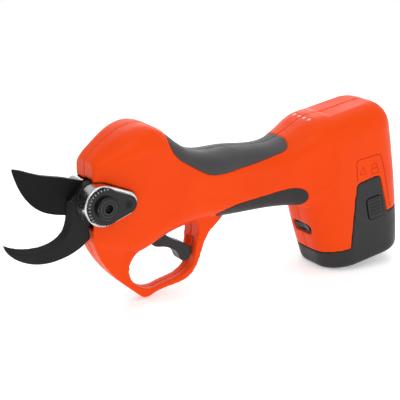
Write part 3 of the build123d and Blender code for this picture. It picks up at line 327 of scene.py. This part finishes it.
HOOK_BLACK = Finish("hook_coating", (0.007, 0.007, 0.0075), (0.010, 0.010, 0.011), 0.42,
                    roughness_spread=0.1, relief_size=0.35 * MM, relief_depth=0.008 * MM,
                    wear=0.9, wear_colour=(0.10, 0.10, 0.105), specular=0.18)
PLATE_BLACK = Finish("plate_coating", (0.007, 0.007, 0.008), (0.011, 0.011, 0.012), 0.3,
                     relief_size=0.4 * MM, relief_depth=0.008 * MM, wear=0.8, specular=0.25,
                     wear_colour=(0.16, 0.165, 0.17))
TOOTH_BLACK = Finish("toothed_plate_coating", (0.006, 0.006, 0.007), (0.010, 0.010, 0.011),
                     0.26, relief_size=0.4 * MM, relief_depth=0.006 * MM, specular=0.3)
ALUMINIUM = Finish("polished_aluminium", (0.72, 0.73, 0.75), (0.50, 0.51, 0.53), 0.2,
                   metallic=1.0, texture=Texture.CAST, relief_size=3 * MM,
                   relief_depth=0.10 * MM, wear=0.5, wear_colour=(0.95, 0.95, 0.97),
                   patch_size=7 * MM)
# Aluminium between the lock plate's teeth, darker than the polished block as painted shade in the
# gaps.
SHADED_GAP_ALUMINIUM = Finish("worn_aluminium", (0.34, 0.345, 0.355), (0.20, 0.205, 0.21), 0.3,
                        metallic=1.0, relief_size=0.5 * MM, patch_size=5 * MM)
STEEL = Finish("satin_steel", (0.46, 0.47, 0.49), (0.36, 0.37, 0.39), 0.3, metallic=1.0,
               texture=Texture.BRUSHED, relief_size=0.25 * MM, relief_depth=0.006 * MM)
DARK_STEEL = Finish("dark_steel", (0.02, 0.021, 0.022), (0.014, 0.015, 0.016), 0.34,
                    metallic=0.5, relief_size=0.3 * MM, relief_depth=0.006 * MM, wear=0.8,
                    wear_colour=(0.2, 0.2, 0.21), specular=0.3)
RING_STEEL = Finish("ring_steel", (0.09, 0.092, 0.096), (0.05, 0.052, 0.056), 0.28,
                    metallic=0.7, relief_size=0.3 * MM, relief_depth=0.004 * MM)
BRONZE = Finish("sintered_bronze", (0.45, 0.27, 0.12), (0.38, 0.22, 0.1), 0.42, metallic=1.0,
                texture=Texture.CAST, relief_size=0.4 * MM, relief_depth=0.01 * MM)
COPPER = Finish("winding_copper", (0.62, 0.27, 0.13), (0.5, 0.2, 0.09), 0.3, metallic=1.0,
                texture=Texture.BRUSHED, relief_size=0.5 * MM, relief_depth=0.04 * MM)
BOARD = Finish("board_green", (0.012, 0.11, 0.06), (0.01, 0.08, 0.045), 0.4,
               relief_size=1.2 * MM, relief_depth=0.02 * MM, patch_size=6 * MM)
LEAD = Finish("lead_insulation", (0.32, 0.02, 0.02), (0.26, 0.015, 0.015), 0.45,
              relief_size=0.8 * MM)
# Indicator lenses; their pale pink colour is a painted glint on the housing's top.
GLINT_LENS = Finish("indicator_lens", (0.85, 0.30, 0.26), (0.8, 0.26, 0.22), 0.25, coat=0.2,
              relief_size=0.3 * MM, relief_depth=0.004 * MM, specular=0.4)
CELL_WRAP = Finish("cell_sleeve", (0.03, 0.16, 0.30), (0.025, 0.13, 0.26), 0.25, coat=0.3,
                   relief_size=2.5 * MM, relief_depth=0.02 * MM)
HOLDER = Finish("cell_holder_moulding", (0.035, 0.035, 0.035), (0.03, 0.03, 0.03), 0.55)
NICKEL = Finish("nickel_strip", (0.62, 0.58, 0.5), (0.55, 0.51, 0.44), 0.28, metallic=1.0,
                texture=Texture.BRUSHED, relief_size=0.3 * MM, relief_depth=0.006 * MM)
STUDIO_WHITE = Finish("studio_floor", (0.92, 0.92, 0.92), (0.94, 0.94, 0.94), 0.8,
                      relief_size=8 * MM, relief_depth=0.02 * MM, specular=0.1, glow=0.4)


# ---------------------------------------------------------------- modelling helpers
def select_only(piece: bpy.types.Object) -> None:
    """Makes one object the only one selected, and active.

    Args:
        piece: The object.
    """
    bpy.ops.object.select_all(action="DESELECT")
    piece.hide_set(False)
    piece.select_set(True)
    bpy.context.view_layer.objects.active = piece


def apply_modifier(piece: bpy.types.Object, kind: str, **settings: object) -> None:
    """Adds a modifier with its settings and applies it.

    Args:
        piece: The object.
        kind: Blender's name for the modifier type.
        **settings: Values set on the modifier.
    """
    select_only(piece)
    modifier = piece.modifiers.new(kind.title(), kind)
    for name, value in settings.items():
        setattr(modifier, name, value)
    bpy.ops.object.modifier_apply(modifier=modifier.name)


def settle(piece: bpy.types.Object) -> None:
    """Puts a new piece's place into its mesh and its origin on the frame's."""
    select_only(piece)
    bpy.ops.object.transform_apply(location=True, rotation=True, scale=True)


def smooth(piece: bpy.types.Object, angle: float = 35.0) -> None:
    """Shades a piece smooth, with creases over the angle in degrees."""
    select_only(piece)
    bpy.ops.object.shade_smooth_by_angle(angle=radians(angle))


def dress(piece: bpy.types.Object, finish: Finish) -> None:
    """Gives a piece its only material."""
    piece.data.materials.clear()
    piece.data.materials.append(finish.material())


def enter(piece: bpy.types.Object) -> None:
    """Starts editing a piece with everything selected.

    Args:
        piece: The object.
    """
    select_only(piece)
    bpy.ops.object.mode_set(mode="EDIT")
    bpy.ops.mesh.select_all(action="SELECT")


def leave() -> None:
    """Ends editing."""
    bpy.ops.object.mode_set(mode="OBJECT")


def body_of_node(node: str) -> str:
    """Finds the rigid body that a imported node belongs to.

    Args:
        node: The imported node.

    Returns:
        The body's name.
    """
    bodies = frame["record"]["behaviour"]["bodies"]
    return next(body for body, nodes in bodies.items() if node in nodes)


def copy_node(node: str, name: str) -> bpy.types.Object:
    """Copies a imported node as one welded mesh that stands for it.

    Args:
        node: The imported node.
        name: The new piece's name.

    Returns:
        The copy, riding on the node's body.
    """
    source = frame["nodes"][node]
    piece = bpy.data.objects.new(name, source.data.copy())
    bpy.context.scene.collection.objects.link(piece)
    piece.data.name = name
    enter(piece)
    bpy.ops.mesh.remove_doubles(threshold=0.002 * MM)
    bpy.ops.mesh.customdata_custom_splitnormals_clear()
    leave()
    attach(piece, body_of_node(node))
    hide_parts(node)
    return piece


def soften(piece: bpy.types.Object, voxel: float, passes: int) -> None:
    """Rounds every edge of a moulded piece a little, as its tool would.

    Args:
        piece: The object.
        voxel: Size of the new mesh's faces.
        passes: Smoothing passes.
    """
    apply_modifier(piece, "REMESH", mode="VOXEL", voxel_size=voxel, adaptivity=0.0)
    apply_modifier(piece, "SMOOTH", factor=0.5, iterations=passes)
    select_only(piece)
    bpy.ops.object.shade_smooth()


def surface_point(shell: bpy.types.Object, x: float, z: float, side: Side) -> Vector:
    """Finds the point of a shell's outer surface seen straight from its side.

    Args:
        shell: The finished shell.
        x: Place along the tool, in metres.
        z: Height, in metres.
        side: The shell's side.

    Returns:
        The point on the surface.
    """
    start = Vector((x, side.value * 0.2, z))
    hit, place, _, _ = shell.ray_cast(start, Vector((0, -side.value, 0)))
    return place if hit else Vector((x, side.value * 0.0284, z))


def bead(name: str, points: Sequence[Vector], radius: float) -> bpy.types.Object:
    """Round bead that follows a path, drawn out point by point.

    Args:
        name: The piece's name.
        points: The path, in metres.
        radius: Radius of the bead.

    Returns:
        The closed bead.
    """
    bpy.ops.object.select_all(action="DESELECT")
    bpy.ops.mesh.primitive_plane_add(size=radius, location=points[0])
    piece = bpy.context.object
    piece.name = name
    enter(piece)
    bpy.ops.mesh.merge(type="CENTER")
    for start, end in zip(points, points[1:]):
        bpy.ops.mesh.extrude_vertices_move(TRANSFORM_OT_translate={"value": end - start})
    leave()
    bpy.ops.object.convert(target="CURVE")
    piece = bpy.context.object
    piece.data.bevel_depth = radius
    piece.data.bevel_resolution = 2
    piece.data.use_fill_caps = True
    bpy.ops.object.convert(target="MESH")
    piece = bpy.context.object
    settle(piece)
    smooth(piece, 60)
    return piece


def rounded_path(corners: Sequence[tuple[float, float]], radius: float) -> list[tuple[float, float]]:
    """Rounds the inner corners of a path.

    Args:
        corners: Path points.
        radius: Distance from a corner at which its rounding starts.

    Returns:
        The path with short steps round each corner.
    """
    path = [corners[0]]
    for before, corner, after in zip(corners, corners[1:], corners[2:]):
        here = Vector(corner)
        start = here + (Vector(before) - here).normalized() * radius
        end = here + (Vector(after) - here).normalized() * radius
        for step in range(5):
            share = step / 4
            point = start.lerp(here, share).lerp(here.lerp(end, share), share)
            path.append((point.x, point.y))
    path.append(corners[-1])
    return path


# ---------------------------------------------------------------- sub-assemblies
@dataclass
class Housing:
    """Both orange shells, with the moulded lines and marks over the battery's tongues, their darker
    orange a painted shade of the relief.
    """

    voxel: float = 0.86 * MM
    passes: int = 2
    line_radius: float = 0.45 * MM
    mark_radius: float = 0.3 * MM
    panel: tuple[tuple[float, float], ...] = (
        (190.0, -12.0), (188.4, 6.0), (208.6, 8.6), (211.4, 1.0), (217.6, -24.0), (219.3, -31.0))
    marks: tuple[tuple[str, tuple[tuple[float, float], ...]], ...] = (
        ("open_triangle", ((191.6, -4.6), (194.3, 1.2), (196.8, -4.2), (191.6, -4.6))),
        ("lock_bow", ((201.8, -1.4), (202.0, 1.6), (205.6, 2.2), (206.0, -0.9))),
        ("lock_box", ((201.2, -1.6), (206.8, -0.8), (207.6, -4.4), (201.9, -5.2),
                      (201.2, -1.6))))
    shells: dict[Side, bpy.types.Object] = field(default_factory=dict)

    def build(self) -> None:
        """Builds the shells and their raised lines."""
        for side in Side:
            shell = copy_node(f"{side.word}_shell", f"{side.word}_housing")
            soften(shell, self.voxel, self.passes)
            dress(shell, ORANGE)
            self.shells[side] = shell
            LOG.info("%s: %d faces", shell.name, len(shell.data.polygons))
        for side in Side:
            path = rounded_path([(x * MM, z * MM) for x, z in self.panel], 2.5 * MM)
            self.line(f"{side.word}_panel_line", path, side, self.line_radius)
            for name, points in self.marks:
                path = [(x * MM, z * MM) for x, z in points]
                self.line(f"{side.word}_{name}", path, side, self.mark_radius)

    def line(
        self, name: str, path: Sequence[tuple[float, float]], side: Side, radius: float
    ) -> None:
        """Adds one moulded line that follows the shell's surface.

        Args:
            name: The piece's name.
            path: Points of the line as X and Z, in metres.
            side: The side it's on.
            radius: Radius of the bead.
        """
        dense = []
        for start, end in zip(path, path[1:]):
            for step in range(4):
                share = step / 4
                dense.append((start[0] + (end[0] - start[0]) * share,
                              start[1] + (end[1] - start[1]) * share))
        dense.append(path[-1])
        sink = Vector((0, -side.value * radius * 0.55, 0))
        points = [surface_point(self.shells[side], x, z, side) + sink for x, z in dense]
        piece = bead(name, points, radius)
        dress(piece, SHADED_LINE_ORANGE)
        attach(piece, "body")
        LOG.info("%s: %d faces", piece.name, len(piece.data.polygons))


@dataclass
class Grips:
    """Rubber let into the handle, above and below."""

    voxel: float = 0.42 * MM
    passes: int = 3
    groove: float = 0.3 * MM

    def build(self) -> None:
        """Builds the four rubber pieces, drawn in to leave a groove round them."""
        for side in Side:
            for level, finish in (("upper", RUBBER), ("lower", LOW_RUBBER)):
                rubber = copy_node(f"{level}_grip_{side.word}", f"{level}_rubber_{side.word}")
                soften(rubber, self.voxel, self.passes)
                apply_modifier(rubber, "DISPLACE", strength=-self.groove, mid_level=0.0)
                dress(rubber, finish)
                LOG.info("%s: %d faces", rubber.name, len(rubber.data.polygons))


@dataclass
class CuttingHead:
    """Blades, polished block, lock plate and pivot."""

    worn: tuple[tuple[str, str, Finish, float], ...] = (
        ("cutting_blade", "upper_blade", BLADE_BLACK, 0.28),
        ("hook_blade", "lower_hook", HOOK_BLACK, 0.3),
        ("head_frame", "pivot_casting", ALUMINIUM, 0.4),
        ("lock_screw", "plate_screw", DARK_STEEL, 0.12),
        ("pivot_bolt", "pivot_bolt_head", PLATE_BLACK, 0.18),
        ("pivot_nut", "pivot_locknut", STEEL, 0.2),
        ("hook_screws", "hook_screw_set", DARK_STEEL, 0.2),
    )
    plain: tuple[tuple[str, str, Finish], ...] = (
        ("lock_plate", "toothed_plate", TOOTH_BLACK),
        ("pivot_bush", "pivot_sleeve", BRONZE),
        ("gear_sector", "blade_gear", STEEL),
        ("bevel_pinion", "drive_pinion", STEEL),
    )
    passes: int = 3
    rings: tuple[float, ...] = (5.3 * MM, 3.3 * MM)
    ring_wire: float = 0.2 * MM
    gap_radius: float = 11.75 * MM
    gap_size: Triple = (1.3 * MM, 0.3 * MM, 0.75 * MM)
    gap_turns: tuple[int, ...] = tuple(range(85, 272, 11))

    def build(self) -> None:
        """Builds every piece of the head."""
        for node, name, finish, voxel in self.worn:
            piece = copy_node(node, name)
            soften(piece, voxel * MM, self.passes)
            dress(piece, finish)
            LOG.info("%s: %d faces", name, len(piece.data.polygons))
        for node, name, finish in self.plain:
            piece = copy_node(node, name)
            smooth(piece, 28)
            dress(piece, finish)
            LOG.info("%s: %d faces", name, len(piece.data.polygons))
        for index, radius in enumerate(self.rings, start=1):
            self.ring(index, radius)
        self.tooth_gaps()

    def ring(self, index: int, radius: float) -> None:
        """Adds one raised ring on the face of the bolt head.

        Args:
            index: Number used in the ring's name.
            radius: Radius of the ring.
        """
        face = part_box("pivot_bolt")[0].y
        bpy.ops.object.select_all(action="DESELECT")
        bpy.ops.mesh.primitive_torus_add(
            location=(0, face + self.ring_wire, 0), rotation=(pi / 2, 0, 0),
            major_radius=radius, minor_radius=self.ring_wire * 1.25, major_segments=96,
            minor_segments=10)
        ring = bpy.context.object
        ring.name = f"bolt_ring_{index}"
        settle(ring)
        smooth(ring, 60)
        dress(ring, RING_STEEL)
        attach(ring, "body")
        LOG.info("%s: %d faces", ring.name, len(ring.data.polygons))


    def tooth_gaps(self) -> None:
        """Adds the metal seen between the lock plate's coarse teeth, a darker aluminium as painted
        shade in the gaps.
        """
        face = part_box("lock_plate")[0].y
        bpy.ops.object.select_all(action="DESELECT")
        gaps = []
        for turn in self.gap_turns:
            angle = radians(turn)
            place = (self.gap_radius * cos(angle), face, self.gap_radius * sin(angle))
            bpy.ops.mesh.primitive_cube_add(size=1.0, location=place, rotation=(0, -angle, 0))
            gap = bpy.context.object
            gap.scale = self.gap_size
            gaps.append(gap)
        for gap in gaps:
            gap.select_set(True)
        bpy.ops.object.join()
        piece = bpy.context.object
        piece.name = "tooth_gaps"
        settle(piece)
        apply_modifier(piece, "BEVEL", width=0.12 * MM, segments=2)
        smooth(piece, 40)
        dress(piece, SHADED_GAP_ALUMINIUM)
        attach(piece, "body")
        LOG.info("%s: %d faces", piece.name, len(piece.data.polygons))


@dataclass
class Battery:
    """Battery foot with its tongues, inner case and latch buttons."""

    voxel: float = 0.7 * MM
    passes: int = 3

    def build(self) -> None:
        """Builds the outer moulding, the case, the jack and the buttons."""
        cap = copy_node("battery_cap", "battery_foot")
        soften(cap, self.voxel, self.passes)
        dress(cap, BATTERY_PLASTIC)
        LOG.info("%s: %d faces", cap.name, len(cap.data.polygons))
        for node, name in (("battery_case", "battery_sleeve"), ("charge_jack", "charge_socket")):
            piece = copy_node(node, name)
            smooth(piece, 30)
            dress(piece, BATTERY_PLASTIC)
        for side in Side:
            button = copy_node(f"latch_button_{side.word}", f"release_button_{side.word}")
            soften(button, 0.25 * MM, 2)
            dress(button, BATTERY_PLASTIC)
            LOG.info("%s: %d faces", button.name, len(button.data.polygons))


@dataclass
class Controls:
    """Trigger, power switch and indicators."""

    def build(self) -> None:
        """Builds the pieces that a hand or an eye meets."""
        for node, name, finish, voxel in (
                ("trigger", "finger_lever", BLACK_PLASTIC, 0.35),
                ("power_rocker", "power_key", BLACK_PLASTIC, 0.2),
                ("power_switch_body", "power_switch_frame", BLACK_PLASTIC, 0.25)):
            piece = copy_node(node, name)
            soften(piece, voxel * MM, 3)
            dress(piece, finish)
            LOG.info("%s: %d faces", name, len(piece.data.polygons))
        # The lenses' pale pink colour is a painted glint.
        lenses = copy_node("indicator_lenses", "indicator_windows")
        smooth(lenses, 30)
        dress(lenses, GLINT_LENS)


@dataclass
class Inside:
    """Sealed pieces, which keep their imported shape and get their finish."""

    finishes: dict[str, Finish] = field(default_factory=lambda: {
        "shell_screws": DARK_STEEL, "drive_pins": STEEL, "pinion_bearings": STEEL,
        "planet_carrier": STEEL, "ring_gear": STEEL, "sun_gear": STEEL,
        "planet_gear_1": STEEL, "planet_gear_2": STEEL, "planet_gear_3": STEEL,
        "motor_plate": STEEL, "motor_can": STEEL, "motor_stator": COPPER,
        "motor_rotor": STEEL, "motor_end_cap": BLACK_PLASTIC, "motor_bearings": STEEL,
        "motor_leads": LEAD, "trigger_pin": STEEL, "trigger_spring": STEEL,
        "trigger_magnet": NICKEL, "trigger_sensor": BOARD, "trigger_lead": LEAD,
        "control_board": BOARD, "contact_block": BLACK_PLASTIC, "battery_screws": STEEL,
        "battery_cell_1": CELL_WRAP, "battery_cell_2": CELL_WRAP, "battery_cell_3": CELL_WRAP,
        "battery_cell_4": CELL_WRAP, "cell_holders": HOLDER, "cell_links": NICKEL,
        "battery_board": BOARD, "battery_contacts": NICKEL, "latch_spring_left": STEEL,
        "latch_spring_right": STEEL})

    def build(self) -> None:
        """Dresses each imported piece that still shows."""
        for node, finish in self.finishes.items():
            dress(frame["nodes"][node], finish)
            LOG.info("%s: dressed as %s", node, finish.name)


# ---------------------------------------------------------------- studio
@dataclass
class Studio:
    """Pale floor, soft lights and the camera."""

    azimuth: float = -30.0
    elevation: float = 16.5
    distance: float = 0.9
    target: Triple = (0.0811, 0.0, -0.0132)
    lens: float = 121.44
    floor_drop: float = 0.4 * MM

    def build(self) -> None:
        """Builds floor, lights, world and camera."""
        self.floor()
        self.lights()
        self.world()
        self.camera()
        bpy.context.scene.view_settings.view_transform = "Standard"

    def floor(self) -> None:
        """Adds a wide flat floor just under the tool."""
        low = min(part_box(node)[0].z for node in frame["nodes"]) - self.floor_drop
        bpy.ops.object.select_all(action="DESELECT")
        bpy.ops.mesh.primitive_plane_add(size=6.0, location=(0, 0, low))
        floor = bpy.context.object
        floor.name = "studio_floor"
        settle(floor)
        dress(floor, STUDIO_WHITE)

    def lights(self) -> None:
        """Adds large soft lights round the tool."""
        for name, place, size, power in (
                ("key", (-0.35, -0.75, 0.75), 0.8, 3.5),
                ("fill", (0.75, -0.9, 0.25), 1.0, 1.5),
                ("top", (0.15, 0.15, 0.95), 1.1, 4.0),
                ("rear", (0.5, 0.8, 0.45), 0.8, 2.5)):
            light = bpy.data.lights.new(name, "AREA")
            light.size = size
            light.energy = power
            lamp = bpy.data.objects.new(name, light)
            bpy.context.scene.collection.objects.link(lamp)
            lamp.location = place
            aim = Vector(self.target) - Vector(place)
            lamp.rotation_euler = aim.to_track_quat("-Z", "Y").to_euler()

    def world(self) -> None:
        """Gives the studio its even white surroundings."""
        world = bpy.data.worlds.new("studio")
        world.use_nodes = True
        background = world.node_tree.nodes["Background"]
        background.inputs["Color"].default_value = (1.0, 1.0, 1.0, 1.0)
        background.inputs["Strength"].default_value = 0.6
        bpy.context.scene.world = world

    def camera(self) -> None:
        """Adds the camera at the tool's front left."""
        turn = radians(self.azimuth)
        rise = radians(self.elevation)
        back = Vector((sin(turn) * cos(rise), -cos(turn) * cos(rise), sin(rise)))
        data = bpy.data.cameras.new("studio_camera")
        data.lens = self.lens
        data.sensor_width = 36.0
        camera = bpy.data.objects.new("studio_camera", data)
        bpy.context.scene.collection.objects.link(camera)
        camera.location = Vector(self.target) + back * self.distance
        camera.rotation_euler = (-back).to_track_quat("-Z", "Y").to_euler()
        bpy.context.scene.camera = camera


def main() -> None:
    """Builds the pruner and its studio in order."""
    logging.basicConfig(level=logging.INFO, format="%(name)s: %(message)s")
    for assembly in (Housing(), Grips(), CuttingHead(), Battery(), Controls(), Inside(), Studio()):
        assembly.build()
        LOG.info("%s built", type(assembly).__name__)


if __name__ == "__main__":
    main()
